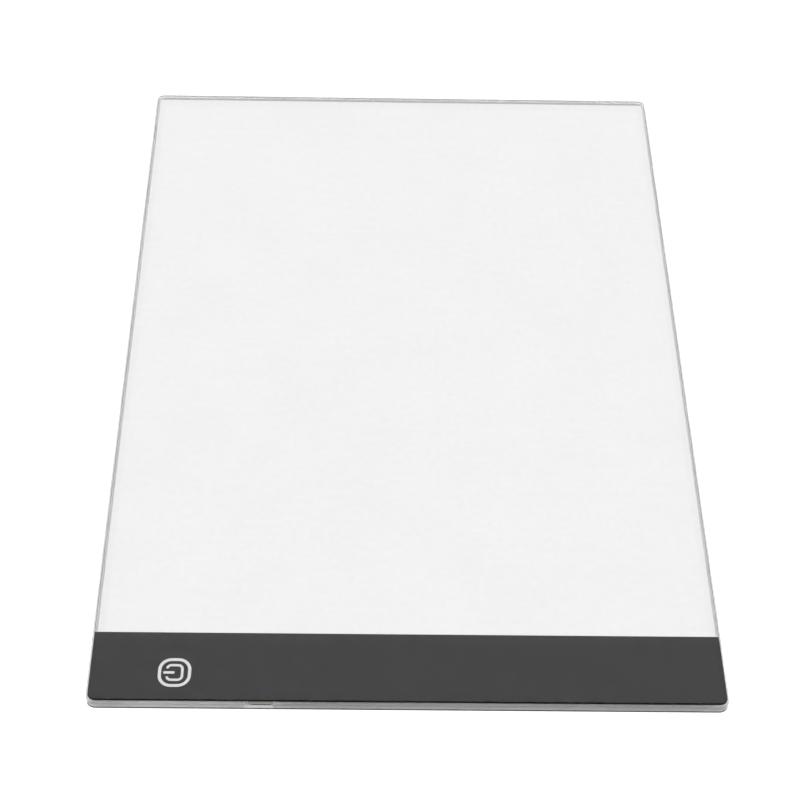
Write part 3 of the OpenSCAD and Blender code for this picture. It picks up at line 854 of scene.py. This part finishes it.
def make_wires():
    """Two insulated wires, bent from the board down into the groove, and their soldered ends."""
    for name, node, slot, mat in (("red_wire", "led_wire_red", "wire_red", RED),
                                  ("black_wire", "led_wire_black", "wire_black", BLACK_WIRE)):
        lo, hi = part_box(node)
        x, r = (lo.x + hi.x) / 2, (hi.x - lo.x) / 2
        top, back = Vector((x, lo.y + r, hi.z)), Vector((x, hi.y, lo.z + r))
        bend = (top.z - back.z) * 0.98
        corner = [Vector((x, top.y + bend - u, back.z + bend - v))
                  for u, v in arc((0, 0), bend, 0, math.pi / 2, 10)]
        bm = bmesh.new()
        add_wire(bm, [top, *corner, back], r * 0.98)
        piece(name, bm, [node], [mat])
    bm = bmesh.new()
    for lo, hi in islands("solder_joints"):
        size = hi - lo
        middle = (lo + hi) / 2
        on_board = size.z < size.y
        if on_board:
            place = Matrix.Translation((middle.x, middle.y, hi.z))
        else:
            place = facing_front(middle.x, hi.y, middle.z)
        place = place @ Matrix.Rotation(math.pi, 4, "X")
        high = size.z if on_board else size.y
        wide = size.x / 2
        slope = [(1, 0), (0.97, 0.1), (0.8, 0.4), (0.68, 0.7), (0.6, 1.0)]
        add_turned(bm, place, [(wide * a, high * b) for a, b in slope], 24)
    piece("solder_fillets", bm, ["solder_joints"], [TIN])


# ---- socket -----------------------------------------------------------------

SHELL_HALF = 3.75 * MM
SHELL_WALL = 0.25 * MM
MOUTH = ((0, 0.3), (0.12, 0.26), (0.3, 0.12), (0.5, 0.03), (0.62, 0))   # distance in and flare, in mm
TAB_AT = (2 * MM, 4 * MM)    # the solder tabs' distances behind the mouth
TAB_L = 0.8 * MM
TAB_OUT = 0.6 * MM


def shell_loop(by, flare):
    """Front view of the shell, drawn in by that much. It is wide below, with its upper corners cut off."""
    w = SHELL_HALF - by + flare
    side, slope = 0.8 * MM, 1.15 * MM
    low = SHELL_HI.z - SHELL_LO.z - by
    corners = [(-w, low), (-w, slope), (side - w, by), (w - side, by), (w, slope), (w, low)]
    return filleted([(x, y, 0.35 * MM - by) for x, y in corners], 5)


def make_usb_shell():
    """The receptacle's folded steel shell, with its flared mouth and four solder tabs."""
    place = facing_front(USB_X, SHELL_LO.y, SHELL_HI.z)
    length = SHELL_HI.y - SHELL_LO.y

    def ring(by, y, flare):
        return [place @ Vector((px, py, y)) for px, py in shell_loop(by, flare)]

    outside = [ring(0, at * MM, flare * MM) for at, flare in MOUTH] + [ring(0, length, 0)]
    inside = [ring(SHELL_WALL, length, 0)]
    inside += [ring(SHELL_WALL, at * MM, flare * MM) for at, flare in MOUTH[::-1]]
    bm = bmesh.new()
    add_skin(bm, outside + inside, closed=True)
    for at in TAB_AT:
        for side in (-1, 1):
            x = sorted((USB_X + side * SHELL_HALF * 0.8, USB_X + side * (SHELL_HALF + TAB_OUT)))
            lo = Vector((x[0], SHELL_LO.y + at, SHELL_HI.z - SHELL_WALL))
            add_block(bm, lo, Vector((x[1], lo.y + TAB_L, SHELL_HI.z)), 0.06 * MM)
    piece("usb_shell_steel", bm, ["usb_shell"], [NICKEL])


def make_usb_inside():
    """The moulded block with its tongue, and five spring contacts with their tails."""
    lo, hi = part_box("usb_insulator")
    block = 1.1 * MM
    tongue_half = 1.95 * MM
    tongue_top = SHELL_HI.z - 0.75 * MM
    tongue_bottom = SHELL_HI.z - 1.35 * MM
    bm = bmesh.new()
    place = facing_front(USB_X, hi.y - block, SHELL_HI.z)
    add_solid(bm, [inset(shell_loop(SHELL_WALL, 0), AIR)], rim(0, block, 0.05 * MM), place)
    add_block(bm, Vector((USB_X - tongue_half, lo.y, tongue_bottom)),
              Vector((USB_X + tongue_half, hi.y - block + 0.1 * MM, tongue_top)), 0.12 * MM, steps=3)
    piece("usb_tongue", bm, ["usb_insulator"], [PLASTIC])
    make_blocks("usb_spring_contacts", "usb_contacts", GOLD, 0.04 * MM)


# ---- all pieces -------------------------------------------------------------

make_cover()
make_light_guide()
make_front_bar()
make_tapes()
make_films()
make_band()
make_back_panel()
make_feet()
make_led_board()
make_leds()
make_chip_parts()
make_blocks("strip_foam_tape", "led_strip_tape", FOAM, 0.02 * MM)
make_control_board()
make_moulded("touch_controller", "touch_chip", True)
make_gull_leads("touch_controller_leads", "touch_chip_leads", "touch_chip")
make_moulded("led_driver_transistor", "driver_transistor", False)
make_gull_leads("transistor_leads", "driver_transistor_leads", "driver_transistor")
make_tantalum()
make_touch_pad()
make_board_tape()
make_wires()
make_usb_shell()
make_usb_inside()


# ---- floor, light and camera ------------------------------------------------

def make_floor():
    """A white floor, a little self-lit, that the polished faces don't mirror."""
    mesh = bpy.data.meshes.new("floor")
    half = 20.0
    mesh.from_pydata([(-half, -half, 0), (half, -half, 0), (half, half, 0), (-half, half, 0)], [],
                     [(0, 1, 2, 3)])
    floor = add_object("floor", mesh)
    mesh.materials.append(plain("floor_white", grey(0.9), grey(0.92), 3, (0.6, 0.7), Specular_IOR_Level=0.0,
                                Emission_Color=grey(1.0), Emission_Strength=0.4))
    floor.visible_glossy = False


def make_world():
    """White light from all round, which fades below the horizon."""
    world = bpy.data.worlds.new("studio")
    bpy.context.scene.world = world
    world.use_nodes = True
    tree = world.node_tree
    background = tree.nodes["Background"]
    background.inputs["Color"].default_value = grey(1.0)
    place = tree.nodes.new("ShaderNodeTexCoord")
    split = tree.nodes.new("ShaderNodeSeparateXYZ")
    fade = tree.nodes.new("ShaderNodeMapRange")
    tree.links.new(place.outputs["Generated"], split.inputs[0])
    tree.links.new(split.outputs["Z"], fade.inputs["Value"])
    for socket, value in zip(("From Min", "From Max", "To Min", "To Max"), (-0.15, 0.02, 0.15, 1.12)):
        fade.inputs[socket].default_value = value
    tree.links.new(fade.outputs["Result"], background.inputs["Strength"])


def make_camera():
    """A long lens from above the band, rolled and shifted a little, for a square frame."""
    data = bpy.data.cameras.new("camera")
    data.sensor_width = 36.0
    data.lens = 81.48
    data.shift_x = 0.0175
    data.shift_y = -0.0008
    cam = add_object("camera", data)
    yaw, pitch, roll = (math.radians(a) for a in (1.364, 49.857, 1.641))
    turn = (Matrix.Rotation(-yaw, 4, "Z") @ Matrix.Rotation(math.pi / 2 - pitch, 4, "X")
            @ Matrix.Rotation(roll, 4, "Z"))
    cam.matrix_world = Matrix.Translation((-0.01937, -0.50647, 0.57846)) @ turn
    bpy.context.scene.camera = cam


make_floor()
make_world()
make_camera()
bpy.context.scene.view_settings.view_transform = "Standard"
